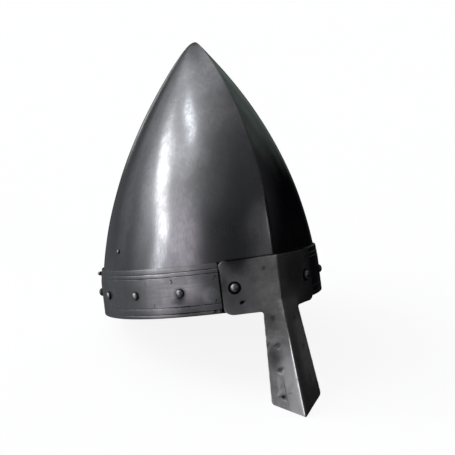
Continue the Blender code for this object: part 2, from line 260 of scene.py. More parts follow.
MARK_RIM = 1.10  # where a mark starts, as a share of its half width and half height
MARK_CORE = 0.20  # and where it is at its full strength
SPOT_CORE = 0.3
MARK_DEPTH = 0.02  # how deep into a sheet a mark reaches
WAVER = 0.0022  # how far a mark's outline wanders
WAVER_SCALE = 220.0

# A noise: how often it repeats along each axis in a metre, its detail and its roughness
Noise = collections.namedtuple("Noise", "scales detail roughness", defaults=(2.0, 0.5))
NOISE_MIDDLE = (0.5, 0.5, 0.5)

# How a value, such as a height, eases staining, wear, painted shade or a painted highlight: from where,
# to where, and how much at each
Fade = collections.namedtuple("Fade", "start end at_start at_end", defaults=(0.0, 1.0))

# The steel's own variation: smudges, a finer mottle, and the grain that the grinding wheel leaves
Finish = collections.namedtuple("Finish", "grain relief contrast brushing")
SKULL_FINISH = Finish(Noise((650, 650, 60), 2.0, 0.6), 0.00003, 0.20, 0.20)
BAND_FINISH = Finish(Noise((60, 60, 700), 2.0, 0.6), 0.00003, 0.24, 0.30)
PLATE_FINISH = Finish(Noise((200, 200, 420), 2.0, 0.6), 0.00004, 0.24, 0.25)
RIVET_FINISH = Finish(Noise((500, 500, 500), 2.0, 0.6), 0.00001, 0.10, 0.22)
SMUDGES = Noise((26, 26, 20), 4.0, 0.55)
MOTTLE = Noise((150, 150, 130), 3.0, 0.6)
SMUDGE_FADE = Fade(0.3, 0.7)
MOTTLE_SPAN = (0.42, 0.62)
MOTTLE_SHADE = 0.5
GRAIN_SPAN = (0.35, 0.65)
GRAIN_SHADE = 0.6
SMUDGE_ROUGHNESS = Fade(0.0, 1.0, 0.03, -0.03)
MOTTLE_ROUGHNESS = Fade(0.3, 0.7, -0.03, 0.03)
GRAIN_ROUGHNESS = Fade(0.3, 0.7, -0.02, 0.03)
STAIN_AND_SHADE_ROUGHNESS = 0.34
WEAR_AND_HIGHLIGHT_ROUGHNESS = -0.25
SCUFF_AND_SHEEN_METAL = Fade(0.0, 1.0, 1.0, 0.4)
MOTTLE_RELIEF = 0.5
RELIEF_STRENGTH = 0.5
STAIN_AND_SHADE_TONE = 0.03  # how much of its colour the steel keeps where it is stained or darkened with painted shade
# the pale, matt tone of rubbed steel and of painted sheen
RUBBED_AND_SHEEN_TONE = (0.80, 0.78, 0.80, 1.0)
# the pale tone of worn steel and of painted highlights
WEAR_AND_HIGHLIGHT_TONE = (0.92, 0.92, 0.94, 1.0)

# Skull: its dull peak, painted shade along the lower keel, which takes out the keel's highlight, and a
# dark cloud above each ear of the guard
PEAK_DULL = Fade(0.2080, 0.2330, 0.0, 0.48)
KEEL_SHADE = Fade(0.0018, 0.0009, 0.0, 0.85)
KEEL_FRONT = Fade(0.0, -0.030)
KEEL_SHADE_TOP = Fade(0.110, 0.085)
DARK_CLOUD_ANGLE = math.radians(21)
DARK_CLOUD_HEIGHT = 0.0490
DARK_CLOUD_RADIUS = 0.0330
DARK_CLOUD_STRENGTH = 0.50

# Brow band: darkened engraved lines, painted shadow just below its rivets and beside the guard's ears,
# and darker along its foot
LINE_STAIN = Fade(0.0007, 0.0001, 0.0, 0.65)
LINE_BREAKS = Noise((90, 90, 30))
LINE_BREAK_FADE = Fade(0.3, 0.6, 0.35, 1.0)
LINE_FRONT = Fade(0.030, -0.030, 0.35, 1.0)
RIVET_SHADOW_DROP = 0.0004
RIVET_SHADOW_RADIUS = BAND_RIVET.head_radius * 1.9
RIVET_SHADOW_STRENGTH = 0.55
BAND_FRONT = Fade(-0.060, -0.070)
GAP_SHADOW = Fade(EAR_REACH - 0.0002, EAR_REACH - 0.0008, 0.0, 0.85)
FOOT_DARKENING = Fade(0.0009, 0.0002, 0.0, 0.5)
PATCHES = Noise((120, 120, 160), 3.0)
PATCH_FADE = Fade(0.35, 0.6)
PATCH_REACH = Fade(EAR_REACH + 0.014, EAR_REACH - 0.001, 0.0, 0.26)
PATCH_HEIGHT = Fade(0.012, 0.027, 0.25, 1.0)

# Nasal guard: a painted shadow ring round each ear rivet, set a little low, and painted shade along the
# top edge and the ears' outer edges
EAR_RIVET_SHADOW = Fade(0.0058, 0.0049)
EAR_RIVET_SHADOW_DROP = 0.0002
TOP_EDGE_SHADE = Fade(PLATE_TOP - 0.0011, PLATE_TOP - 0.0003, 0.0, 0.8)
TOP_EDGE_REACH = Fade(EAR_REACH - 0.004, EAR_REACH - 0.009)
EAR_EDGE_SHADE = Fade(EAR_REACH - 0.0011, EAR_REACH - 0.0005)
EAR_EDGE_HEIGHT = Fade(PLATE_TOP - 0.0060, PLATE_TOP - 0.0110, 0.40, 1.0)

# Nasal guard: the crease's bright line, partly real wear and partly a painted highlight, which widens
# downwards and lies a little to the wearer's right
WORN_HIGHLIGHT_TOP = -0.0145
WORN_HIGHLIGHT_WIDTH = Fade(WORN_HIGHLIGHT_TOP, NASAL_SHOULDER, 0.0003, 0.0019)
WORN_HIGHLIGHT_OFFSET = 0.4  # in widths
WORN_HIGHLIGHT_LINE = Fade(1.9, 0.5)  # in widths from its middle
WORN_HIGHLIGHT_HEIGHT = Fade(WORN_HIGHLIGHT_TOP, WORN_HIGHLIGHT_TOP - 0.014)
WORN_HIGHLIGHT_BREAKS = Noise((120, 120, 70))
WORN_HIGHLIGHT_BREAK_FADE = Fade(0.3, 0.5, 0.6, 1.0)

# Nasal guard: where it is painted paler, partly as rubbing and partly as painted sheen: down the
# wearer's right side, the lit side, beside the crease and on the left
RIGHT_SIDE = Fade(0.0, -0.0015)
RUB_SHEEN_HEIGHT = Fade(-0.0040, NASAL_TIP, 0.0, 0.75)
RUB_SHEEN_PATCHES = Noise((85, 85, 60), 4.0, 0.6)
RUB_SHEEN_PATCH_FADE = Fade(0.35, 0.62, 0.52, 1.0)
INNER_SHEEN_REACH = Fade(-0.0140, -0.0070)
INNER_SHEEN_HEIGHT = Fade(-0.028, -0.050, 0.0, 0.38)
LEFT_SHEEN_REACH = Fade(0.0020, 0.0120, 0.0, 0.19)
LEFT_SHEEN_TOP = Fade(-0.006, -0.018)
LEFT_SHEEN_FOOT = Fade(-0.080, -0.055, 0.3, 1.0)

# Rivet heads: painted shade at their rims, where they meet the sheet
RIM_SHADE = Fade(0.72, 1.0, 0.0, 0.95)


def settings():
    return bpy.context.scene.nasal_helmet


def studio():
    return bpy.context.scene.helmet_studio


# ---- the shape that every sheet follows


def smooth_step(value):
    value = min(max(value, 0.0), 1.0)
    return value * value * (3.0 - 2.0 * value)


def shell_point(angle, height, proud):
    """A point of the skull's outer face, or `proud` outside it; the angle is 0 at the keel, 90 at +X."""
    rise = (height - UPRIGHT_HEIGHT) / (PEAK_HEIGHT - UPRIGHT_HEIGHT)
    rise = (rise + math.hypot(rise, FOOT_BLEND)) / 2

    def reach(base, bulge):
        swelling = 1 + bulge.linear * rise + bulge.squared * rise**2
        return (base - BAND_FACE) * max(1 - rise, 0.0) * swelling + proud

    front = reach(FRONT_REACH + KEEL_REACH, FRONT_BULGE)
    side = reach(HALF_WIDTH, SIDE_BULGE)
    rear = reach(REAR_REACH, REAR_BULGE)
    # The keel has its full reach low down, and half of the front's reach near the peak
    keel = KEEL_REACH * front / (front**3 + (2 * KEEL_REACH) ** 3) ** (1 / 3)
    across = math.sin(angle)
    along = math.cos(angle)
    y = -rear * along
    if along > 0:
        y = -(front - keel) * along - keel * (1 - math.hypot(across, KEEL_ROUNDING)) ** 2
    lean = PEAK_FORWARD * rise**PEAK_LEAN
    left = PEAK_HEIGHT - height
    dip = math.hypot(left, settings().peak_rounding) - left
    return Vector((side * across, y - lean, height - dip * min(rise * PEAK_ONSET, 1.0)))


def shell_normal(angle, height):
    step = NORMAL_STEP
    turn = shell_point(angle + step, height, 0.0) - shell_point(angle - step, height, 0.0)
    climb = shell_point(angle, height + step, 0.0) - shell_point(angle, height - step, 0.0)
    return turn.cross(climb).normalized()


def ring_angles(columns):
    """Angles once round, closest together at the keel."""
    half = [math.pi * (i / columns) ** COLUMN_CROWDING for i in range(columns + 1)]
    return half + [-angle for angle in reversed(half[1:-1])]


def angle_at_arc(arc, height, proud):
    """The angle reached after going `arc` along the sheet from the keel."""
    angle = 0.0
    while arc > 0:
        here = shell_point(angle, height, proud)
        arc -= (shell_point(angle + ARC_STEP, height, proud) - here).length
        angle += ARC_STEP
    return angle


def angle_at_side(x, height, proud):
    """The angle at which the front of the sheet is `x` from the middle plane."""
    return math.asin(x / shell_point(math.pi / 2, height, proud).x)


def standing():
    """How the helmet stands: its rear rim's point and face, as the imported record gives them."""
    rim = frame["record"]["mounts"][0]
    _, back, down = rim["axis"]
    tilt = math.atan2(-back, -down)
    outer = shell_point(math.pi, 0.0, BAND_FACE - ARRIS)
    inner = shell_point(math.pi, 0.0, SEAT)
    to_rim = Matrix.Translation((0.0, -(outer.y + inner.y) / 2, 0.0))
    return Matrix.Translation(rim["pos_m"]) @ Matrix.Rotation(-tilt, 4, "X") @ to_rim


def add_piece(name, bm, material, node):
    """Stands the mesh up and hands it over as a finished piece in place of the plain node."""
    mesh = bpy.data.meshes.new(name)
    bm.to_mesh(mesh)
    bm.free()
    mesh.transform(standing())
    mesh.materials.append(material)
    mesh.shade_smooth()
    mesh.set_sharp_from_angle(angle=SOFT_EDGE)
    piece = bpy.data.objects.new(name, mesh)
    bpy.context.scene.collection.objects.link(piece)
    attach(piece, "root")
    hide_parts(node)
    return piece


# ---- sheets


def loft_rings(columns, rows):
    """Rings of vertices joined in order, one for each function of the angle in `rows`."""
    bm = bmesh.new()
    layer = bm.verts.layers.float.new("angle")
    angles = ring_angles(columns)
    ring = bmesh.ops.create_circle(bm, segments=len(angles), radius=1.0)["verts"]
    for vert, angle in zip(ring, angles):
        vert[layer] = angle
        vert.co = rows[0](angle)
    edges = bm.edges[:]
    for row in rows[1:]:
        grown = bmesh.ops.extrude_edge_only(bm, edges=edges)["geom"]
        edges = [e for e in grown if isinstance(e, bmesh.types.BMEdge) and e.is_boundary]
        for vert in grown:
            if isinstance(vert, bmesh.types.BMVert):
                vert.co = row(vert[layer])
    bm.verts.layers.float.remove(bm.verts.layers.float["angle"])
    bmesh.ops.remove_doubles(bm, verts=bm.verts, dist=SAME_POINT)
    bmesh.ops.recalc_face_normals(bm, faces=bm.faces)
    return bm


def hollow(point, height):
    """How deep the hammer left the skull at a point, in metres, inwards positive."""
    depth = settings().hammer_depth * smooth_step((height - HOLLOW_START) / HOLLOW_SIZE)
    depth *= smooth_step((HOLLOW_END - height) / HOLLOW_SIZE)
    return depth * noise.noise(point / HOLLOW_SIZE)


def skull_row(height):
    def place(angle):
        point = shell_point(angle, height, 0.0)
        return shell_point(angle, height, -hollow(point, height))

    return place


def raise_skull():
    wall = UPRIGHT_HEIGHT - SKULL_FOOT
    heights = [SKULL_FOOT + wall * i / WALL_ROWS for i in range(WALL_ROWS)]
    for i in range(DOME_ROWS + 1):
        rise = 1 - (1 - i / DOME_ROWS) ** ROW_CROWDING
        heights.append(UPRIGHT_HEIGHT + (PEAK_HEIGHT - UPRIGHT_HEIGHT) * rise)
    return loft_rings(SKULL_COLUMNS, [skull_row(height) for height in heights])


def moulding(low, high):
    """(height, proud) over one low rounded bead of the band."""
    points = []
    for i in range(BEAD_STEPS + 1):
        share = i / BEAD_STEPS
        points.append((low + (high - low) * share, BAND_FACE + BEAD_SWELL * math.sin(math.pi * share)))
    return points


def engraved_line(height):
    """(height, proud) across one engraved line of the band."""
    points = []
    for i in range(LINE_STEPS + 1):
        share = 2 * i / LINE_STEPS - 1
        depth = LINE_DEPTH * math.cos(math.pi * share / 2) ** 2
        points.append((height + LINE_HALF_WIDTH * share, BAND_FACE - depth))
    return points


def band_section():
    """(height, proud of the skull) up the band's moulded outer face and down its plain inner face."""
    turns = [math.radians(90 * i / ARRIS_STEPS) for i in range(ARRIS_STEPS + 1)]
    foot = [(ARRIS * (1 - math.sin(t)), BAND_FACE - ARRIS * (1 - math.cos(t))) for t in reversed(turns)]
    head = [(BAND_HEIGHT - height, proud) for height, proud in reversed(foot)]
    points = list(foot)
    field = (BAND_LINES[1], BAND_LINES[2])
    stops = (ARRIS,) + BAND_LINES + (BAND_HEIGHT - ARRIS,)
    for low, high in zip(stops, stops[1:]):
        start = low + LINE_HALF_WIDTH * (low in BAND_LINES)
        end = high - LINE_HALF_WIDTH * (high in BAND_LINES)
        if (low, high) == field:
            rise = end - start
            points += [(start + rise * i / FIELD_STEPS, BAND_FACE) for i in range(1, FIELD_STEPS)]
        else:
            points += moulding(start, end)[1:-1]
        if high in BAND_LINES:
            points += engraved_line(high)
    points += head
    points += [(BAND_HEIGHT, SEAT), (UPRIGHT_HEIGHT, SEAT), (0.0, SEAT), points[0]]
    return points


def band_row(height, proud):
    return lambda angle: shell_point(angle, height, proud)


def form_band():
    return loft_rings(BAND_COLUMNS, [band_row(*point) for point in band_section()])


def dent_depth(x, z):
    depth = 0.0
    for dent in DENTS:
        away = math.hypot(x - dent.x, z - dent.z) / dent.radius
        if away < DENT_LIMIT:
            depth += dent.depth * math.exp(-(away**2))
    return depth


def nasal_point(x, z):
    """A point of the nasal guard's outer face, x across from the middle plane and z up."""
    off = abs(x)
    angle = angle_at_side(off, 0.0, PLATE_FACE)
    seated = shell_point(angle, max(z, 0.0), PLATE_FACE).y
    crease = shell_point(0.0, 0.0, PLATE_FACE).y
    drop = max(NASAL_BEND - z, 0.0)
    down = min(max((EAR_FOOT - z) / (EAR_FOOT - NASAL_SHOULDER), 0.0), 1.0)
    half_width = NECK_HALF_WIDTH + (NASAL_HALF_WIDTH - NECK_HALF_WIDTH) * down
    rounding = CREASE_ROUNDING * (1 + CREASE_GROWTH * down)
    share = min(math.hypot(off, rounding) / half_width, 1.0)
    middle = crease - CREASE_LEAN * drop
    edge = crease + EDGE_BACK - EDGE_LEAN * drop
    folded = middle + (edge - middle) * share
    if off > half_width:
        neck = angle_at_side(half_width, 0.0, PLATE_FACE)
        folded += seated - shell_point(neck, max(z, 0.0), PLATE_FACE).y
    fold = smooth_step((FOLD_TOP - z) / (FOLD_TOP - FOLD_FOOT))
    fold *= 1 - smooth_step((off - half_width) / EAR_BLEND)
    return Vector((x, seated + (folded - seated) * fold + dent_depth(x, z), z))


def corner_points(centre, size, start, end):
    """Points round one corner of the plate's flat outline, with angles in degrees."""
    x, z = centre
    turns = [math.radians(start + (end - start) * i / size.steps) for i in range(size.steps + 1)]
    return [(x + size.radius * math.cos(t), z + size.radius * math.sin(t)) for t in turns]


def outline_side(shoulder_height, tip_slope):
    """One half of the plate's flat outline, (x, z), from its top to its tip and on its +X side."""
    top = EAR_TOP_CORNER.radius
    foot = EAR_FOOT_CORNER.radius
    neck = NECK_CORNER.radius
    shoulder = (NASAL_HALF_WIDTH - SHOULDER_CORNER.radius, shoulder_height)
    tip = (0.0, NASAL_TIP + TIP_CORNER.radius / math.cos(tip_slope))
    turned = math.degrees(tip_slope) - 90
    outline = corner_points((EAR_REACH - top, PLATE_TOP - top), EAR_TOP_CORNER, 90, 0)
    outline += corner_points((EAR_REACH - foot, EAR_FOOT + foot), EAR_FOOT_CORNER, 0, -90)
    outline += corner_points((NECK_HALF_WIDTH + neck, EAR_FOOT - neck), NECK_CORNER, 90, 180)
    outline += corner_points(shoulder, SHOULDER_CORNER, SHOULDER_START, turned)
    outline += corner_points(tip, TIP_CORNER, turned, -90)
    return outline[:-1]


def nasal_outline():
    """The plate's flat outline, (x, z), down its +X side and back up the other."""
    left = outline_side(NASAL_SHOULDER, TIP_SLOPE)
    right = outline_side(RIGHT_SHOULDER, RIGHT_TIP_SLOPE)
    foot = [(0.0, NASAL_TIP + TIP_CORNER.radius / math.cos(TIP_SLOPE) - TIP_CORNER.radius)]
    return [(0.0, PLATE_TOP)] + left + foot + [(-x, z) for x, z in reversed(right)]


def steps_between(start, end, pitch):
    count = math.ceil(abs(end - start) / pitch)
    return [start + (end - start) * i / count for i in range(1, count)]


def slice_sheet(bm, place, normal):
    everything = bm.verts[:] + bm.edges[:] + bm.faces[:]
    bmesh.ops.bisect_plane(bm, geom=everything, plane_co=place, plane_no=normal, dist=SAME_POINT)


def fold_nasal():
    bm = bmesh.new()
    blank = bm.faces.new([bm.verts.new((x, 0.0, z)) for x, z in nasal_outline()])
    bmesh.ops.inset_region(
        bm, faces=[blank], thickness=PLATE_ARRIS, use_boundary=True, use_even_offset=True
    )
    columns = [0.0] + steps_between(-EAR_REACH, EAR_REACH, PLATE_PITCH)
    columns += [sign * cut for sign in (-1, 1) for cut in CREASE_CUTS]
    for x in columns:
        slice_sheet(bm, (x, 0.0, 0.0), (1.0, 0.0, 0.0))
    for z in steps_between(PLATE_TOP, NASAL_TIP, PLATE_PITCH):
        slice_sheet(bm, (0.0, 0.0, z), (0.0, 0.0, 1.0))
    bmesh.ops.remove_doubles(bm, verts=bm.verts, dist=SAME_POINT)
    for vert in bm.verts:
        eased = PLATE_ARRIS if vert.is_boundary else 0.0
        vert.co = nasal_point(vert.co.x, vert.co.z) + Vector((0.0, eased, 0.0))
    bmesh.ops.recalc_face_normals(bm, faces=bm.faces)
    bm.normal_update()
    if sum(face.normal.y for face in bm.faces) > 0:
        bmesh.ops.reverse_faces(bm, faces=bm.faces)
    everything = bm.verts[:] + bm.edges[:] + bm.faces[:]
    bmesh.ops.solidify(bm, geom=everything, thickness=PLATE_WALL)
    return bm


# ---- rivets


def rivet_profile(size, stack):
    """(radius, height) from the dome's top down to the inner head, with the sheets below 0."""
    turns = [math.pi / 2 * i / DOME_STEPS for i in range(DOME_STEPS + 1)]
    dome = [(size.head_radius * math.sin(t), SEAT + size.head_height * math.cos(t)) for t in turns]
    inside = -stack - INNER_SEAT
    edge = inside - HEAD_EDGE
    bottom = inside - INNER_HEAD_HEIGHT
    under = [(size.head_radius, -HEAD_SINK), (size.shank_radius, -HEAD_SINK)]
    peened = [(size.shank_radius, inside), (size.inner_radius, inside), (size.inner_radius, edge)]
    peened += [(size.inner_radius * PEEN_TAPER, (edge + bottom) / 2), (0.0, bottom)]
    return dome + under + peened


def rivet_pose(angle, height, proud):
    """Where a rivet sits: its +Z axis leaves the sheet squarely."""
    across = shell_normal(angle, height)
    turned = across.to_track_quat("Z", "Y").to_matrix().to_4x4()
    return Matrix.Translation(shell_point(angle, height, proud)) @ turned


def turn_rivet(size, stack, pose):
    """One rivet spun from its profile; each vertex carries how near the outer head's edge it is."""
    bm = bmesh.new()
    rim = bm.verts.layers.float.new(RIM)
    line = [bm.verts.new((radius, 0.0, height)) for radius, height in rivet_profile(size, stack)]
    for vert in line:
        vert[rim] = min(vert.co.x / size.head_radius, 1.0)
    edges = [bm.edges.new(pair) for pair in zip(line, line[1:])]
    bmesh.ops.spin(
        bm,
        geom=line + edges,
        cent=(0, 0, 0),
        axis=(0, 0, 1),
        dvec=(0, 0, 0),
        angle=math.tau,
        steps=RIVET_TURNS,
        use_merge=True,
        use_duplicate=False,
    )
    bmesh.ops.remove_doubles(bm, verts=bm.verts, dist=SAME_POINT)
    bmesh.ops.recalc_face_normals(bm, faces=bm.faces)
    bmesh.ops.transform(bm, matrix=pose, verts=bm.verts)
    return bm


def band_rivet_angles():
    """Angles of the rivets on one side, evenly spaced from the ear rivet round to its twin."""
    half_way = 0.0
    angle = 0.0
    while angle < math.pi:
        here = shell_point(angle, RIVET_HEIGHT, BAND_FACE)
        half_way += (shell_point(angle + ARC_STEP, RIVET_HEIGHT, BAND_FACE) - here).length
        angle += ARC_STEP
    pitch = 2 * (half_way - EAR_RIVET_ARC) / (2 * BAND_RIVETS_A_SIDE + 1)
    arcs = [EAR_RIVET_ARC + pitch * i for i in range(1, BAND_RIVETS_A_SIDE + 1)]
    return [angle_at_arc(arc, RIVET_HEIGHT, BAND_FACE) for arc in arcs]


def rivet_places():
    """(node, size, outer face, angle, height) of each rivet; the left of the helmet is +X."""
    ear = angle_at_arc(EAR_RIVET_ARC, RIVET_HEIGHT, PLATE_FACE)
    side_angle, side_height = SIDE_RIVET_PLACE
    stud_angle, stud_height = EDGE_STUD_PLACE
    row = band_rivet_angles()
    places = []
    for side, sign in (("left", 1), ("right", -1)):
        places.append((f"ear_rivet_{side}", EAR_RIVET, PLATE_FACE, sign * ear, RIVET_HEIGHT))
        places.append((f"side_rivet_{side}", SIDE_RIVET, 0.0, sign * side_angle, side_height))
        places.append((f"edge_stud_{side}", EDGE_STUD, BEAD_FACE, sign * stud_angle, stud_height))
        for number, angle in enumerate(row, start=1):
            node = f"band_rivet_{side}_{number}"
            places.append((node, BAND_RIVET, BAND_FACE, sign * angle, RIVET_HEIGHT))
    return places


# ---- steel


def wire(tree, kind, *feeds, **choices):
    """The outputs of a new node whose choices are made and first sockets fed, by sockets or values."""
    node = tree.nodes.new(kind)
    for name, choice in choices.items():
        setattr(node, name, choice)
    for socket, feed in zip(node.inputs, feeds):
        if isinstance(feed, bpy.types.NodeSocket):
            tree.links.new(feed, socket)
        elif feed is not None:
            socket.default_value = feed
    return node.outputs


def sum_of(tree, first, second):
    return wire(tree, "ShaderNodeMath", first, second, operation="ADD")[0]


def product(tree, first, second):
    return wire(tree, "ShaderNodeMath", first, second, operation="MULTIPLY")[0]


def size_of(tree, value):
    return wire(tree, "ShaderNodeMath", value, operation="ABSOLUTE")[0]


def distance(tree, place, centre):
    return wire(tree, "ShaderNodeVectorMath", place, centre, operation="DISTANCE")["Value"]


def ramp(tree, value, low, high, at_low=0.0, at_high=1.0):
    """Eases from one level to another as the value goes from low to high."""
    feeds = (value, low, high, at_low, at_high)
    return wire(tree, "ShaderNodeMapRange", *feeds, interpolation_type="SMOOTHSTEP")[0]


def region(tree, *limits):
    """Where several fades meet: the product of them all, each given after the value that it follows."""
    shares = [ramp(tree, value, *fade) for value, fade in limits]
    share = shares[0]
    for other in shares[1:]:
        share = product(tree, share, other)
    return share


def clouds(tree, place, noise):
    """A soft noise, roughly 0 to 1."""
    spread = wire(tree, "ShaderNodeVectorMath", place, noise.scales, operation="MULTIPLY")[0]
    return wire(tree, "ShaderNodeTexNoise", spread, None, 1.0, noise.detail, noise.roughness)[0]


def blend_colors(tree, share, first, second):
    mix = tree.nodes.new("ShaderNodeMix")
    mix.data_type = "RGBA"
    for socket, feed in ((mix.inputs[0], share), (mix.inputs[6], first), (mix.inputs[7], second)):
        if isinstance(feed, bpy.types.NodeSocket):
            tree.links.new(feed, socket)
        else:
            socket.default_value = feed
    return mix.outputs[2]


def spot(tree, place, centre, radius, strength):
    """A soft round mark about a point of the helmet's own frame."""
    return ramp(tree, distance(tree, place, centre), radius, radius * SPOT_CORE, 0.0, strength)


def smear(tree, place, centre, heading, lean, across, up, strength):
    """A soft oval mark on a sheet that faces `heading`; the mark leans to the side by `lean`."""
    mapping = tree.nodes.new("ShaderNodeMapping")
    mapping.vector_type = "TEXTURE"
    mapping.inputs["Location"].default_value = centre
    mapping.inputs["Rotation"].default_value = (0.0, math.radians(lean), math.radians(heading))
    mapping.inputs["Scale"].default_value = (across, MARK_DEPTH, up)
    tree.links.new(place, mapping.inputs["Vector"])
    away = wire(tree, "ShaderNodeVectorMath", mapping.outputs[0], operation="LENGTH")["Value"]
    return ramp(tree, away, MARK_RIM, MARK_CORE, 0.0, strength)


def shade_of(color, share):
    return (color[0] * share, color[1] * share, color[2] * share, 1.0)


class Steel:
    """A steel finish in the making: its node tree, its place on the helmet, its stains and painted
    shade, its wear and painted highlights, and its rubbing and painted sheen.
    """

    def __init__(self, name, color):
        self.material = bpy.data.materials.new(name)
        self.material.use_nodes = True
        self.material.diffuse_color = shade_of(color, 1.0)
        self.tree = self.material.node_tree
        self.shader = self.tree.nodes["Principled BSDF"]
        self.shader.inputs["Metallic"].default_value = 1.0
        self.color = color
        helmet_from_world = standing().inverted()
        here = wire(self.tree, "ShaderNodeTexCoord")["Object"]
        mapping = self.tree.nodes.new("ShaderNodeMapping")
        mapping.inputs["Location"].default_value = helmet_from_world.to_translation()
        mapping.inputs["Rotation"].default_value = helmet_from_world.to_euler()
        self.tree.links.new(here, mapping.inputs["Vector"])
        self.place = mapping.outputs[0]
        self.ragged_place = self.waver()
        self.stain_and_shade = 0.0
        self.wear_and_highlight = 0.0
        self.scuff_and_sheen = 0.0

    def waver(self):
        """The place on the helmet, shaken a little, so that what follows it has ragged edges."""
        tree = self.tree
        wander = wire(tree, "ShaderNodeTexNoise", self.place, None, WAVER_SCALE)["Color"]
        wander = wire(tree, "ShaderNodeVectorMath", wander, NOISE_MIDDLE, operation="SUBTRACT")[0]
        feeds = (wander, (WAVER, WAVER, WAVER), self.place)
        return wire(tree, "ShaderNodeVectorMath", *feeds, operation="MULTIPLY_ADD")[0]

    def axes(self):
        split = wire(self.tree, "ShaderNodeSeparateXYZ", self.place)
        return split["X"], split["Y"], split["Z"]

    def darken(self, amount):
        self.stain_and_shade = sum_of(self.tree, self.stain_and_shade, amount)

    def brighten(self, amount):
        self.wear_and_highlight = sum_of(self.tree, self.wear_and_highlight, amount)

    def rub_and_sheen(self, amount):
        """Rubs the steel pale and matt, as real rubbing or as painted sheen."""
        self.scuff_and_sheen = sum_of(self.tree, self.scuff_and_sheen, amount)

    def mark(self, centre, heading, lean, across, up, strength):
        """One of the listed marks: ragged and dark, or clean and bright if its strength is negative."""
        if strength > 0:
            self.darken(smear(self.tree, self.ragged_place, centre, heading, lean, across, up, strength))
        else:
            self.brighten(smear(self.tree, self.place, centre, heading, lean, across, up, -strength))

    def finish(self, polish, look):
        """Wires up the colour, the roughness, which varies about `polish`, and the fine relief."""
        tree = self.tree
        smudge = ramp(tree, clouds(tree, self.place, SMUDGES), *SMUDGE_FADE)
        mottle = clouds(tree, self.place, MOTTLE)
        grain = clouds(tree, self.place, look.grain)
        low = shade_of(self.color, 1.0 - look.contrast)
        high = shade_of(self.color, 1.0 + look.contrast)
        mottled = ramp(tree, mottle, *MOTTLE_SPAN, 0.0, look.contrast)
        brushed = ramp(tree, grain, *GRAIN_SPAN, 0.0, look.brushing)
        tone = blend_colors(tree, smudge, low, high)
        tone = blend_colors(tree, mottled, tone, shade_of(self.color, MOTTLE_SHADE))
        tone = blend_colors(tree, brushed, tone, shade_of(self.color, GRAIN_SHADE))
        tone = blend_colors(tree, self.scuff_and_sheen, tone, RUBBED_AND_SHEEN_TONE)
        tone = blend_colors(tree, self.wear_and_highlight, tone, WEAR_AND_HIGHLIGHT_TONE)
        tone = blend_colors(tree, self.stain_and_shade, tone, shade_of(self.color, STAIN_AND_SHADE_TONE))
        tree.links.new(tone, self.shader.inputs["Base Color"])
        dull = sum_of(tree, ramp(tree, smudge, *SMUDGE_ROUGHNESS), ramp(tree, mottle, *MOTTLE_ROUGHNESS))
        dull = sum_of(tree, dull, product(tree, self.stain_and_shade, STAIN_AND_SHADE_ROUGHNESS))
        dull = sum_of(tree, dull, product(tree, self.wear_and_highlight, WEAR_AND_HIGHLIGHT_ROUGHNESS))
        low, high, less, more = GRAIN_ROUGHNESS
        dull = sum_of(tree, dull, ramp(tree, grain, low, high, polish + less, polish + more))
        tree.links.new(dull, self.shader.inputs["Roughness"])
        if isinstance(self.scuff_and_sheen, bpy.types.NodeSocket):
            tree.links.new(ramp(tree, self.scuff_and_sheen, *SCUFF_AND_SHEEN_METAL), self.shader.inputs["Metallic"])
        bump = tree.nodes.new("ShaderNodeBump")
        bump.inputs["Strength"].default_value = RELIEF_STRENGTH
        bump.inputs["Distance"].default_value = look.relief
        tree.links.new(sum_of(tree, grain, product(tree, mottle, MOTTLE_RELIEF)), bump.inputs["Height"])
        tree.links.new(bump.outputs[0], self.shader.inputs["Normal"])
        return self.material


def skull_steel():
    steel = Steel("polished_skull_steel", settings().skull_color)
    tree = steel.tree
    x, y, z = steel.axes()
    off = size_of(tree, x)
    steel.darken(ramp(tree, z, *PEAK_DULL))
    # painted shade along the lower keel, which takes out its highlight
    steel.darken(region(tree, (off, KEEL_SHADE), (y, KEEL_FRONT), (z, KEEL_SHADE_TOP)))
    for sign in (-1, 1):
        centre = shell_point(sign * DARK_CLOUD_ANGLE, DARK_CLOUD_HEIGHT, 0.0)
        steel.darken(spot(tree, steel.place, centre, DARK_CLOUD_RADIUS, DARK_CLOUD_STRENGTH))
    return steel.finish(settings().skull_polish, SKULL_FINISH)


def band_steel():
    steel = Steel("satin_band_steel", settings().band_color)
    tree = steel.tree
    x, y, z = steel.axes()
    off = size_of(tree, x)
    breaks = region(tree, (clouds(tree, steel.place, LINE_BREAKS), LINE_BREAK_FADE), (y, LINE_FRONT))
    for height in BAND_LINES:
        away = size_of(tree, sum_of(tree, z, -height))
        steel.darken(product(tree, ramp(tree, away, *LINE_STAIN), breaks))
    for angle, height, lean, across, up, strength in BAND_MARKS:
        centre = shell_point(math.radians(angle), height, BAND_FACE)
        steel.mark(centre, angle, lean, across, up, strength)
    # painted shadow round each band rivet, set a little below it
    for angle in band_rivet_angles():
        for sign in (-1, 1):
            centre = shell_point(sign * angle, RIVET_HEIGHT - RIVET_SHADOW_DROP, BAND_FACE)
            steel.darken(spot(tree, steel.place, centre, RIVET_SHADOW_RADIUS, RIVET_SHADOW_STRENGTH))
    # painted shadow on the band beside the ends of the guard's ears
    steel.darken(region(tree, (off, GAP_SHADOW), (y, BAND_FRONT)))
    # darker along the band's lower edge
    steel.darken(ramp(tree, z, *FOOT_DARKENING))
    patches = (clouds(tree, steel.place, PATCHES), PATCH_FADE)
    steel.darken(region(tree, (off, PATCH_REACH), patches, (z, PATCH_HEIGHT), (y, BAND_FRONT)))
    return steel.finish(settings().band_polish, BAND_FINISH)


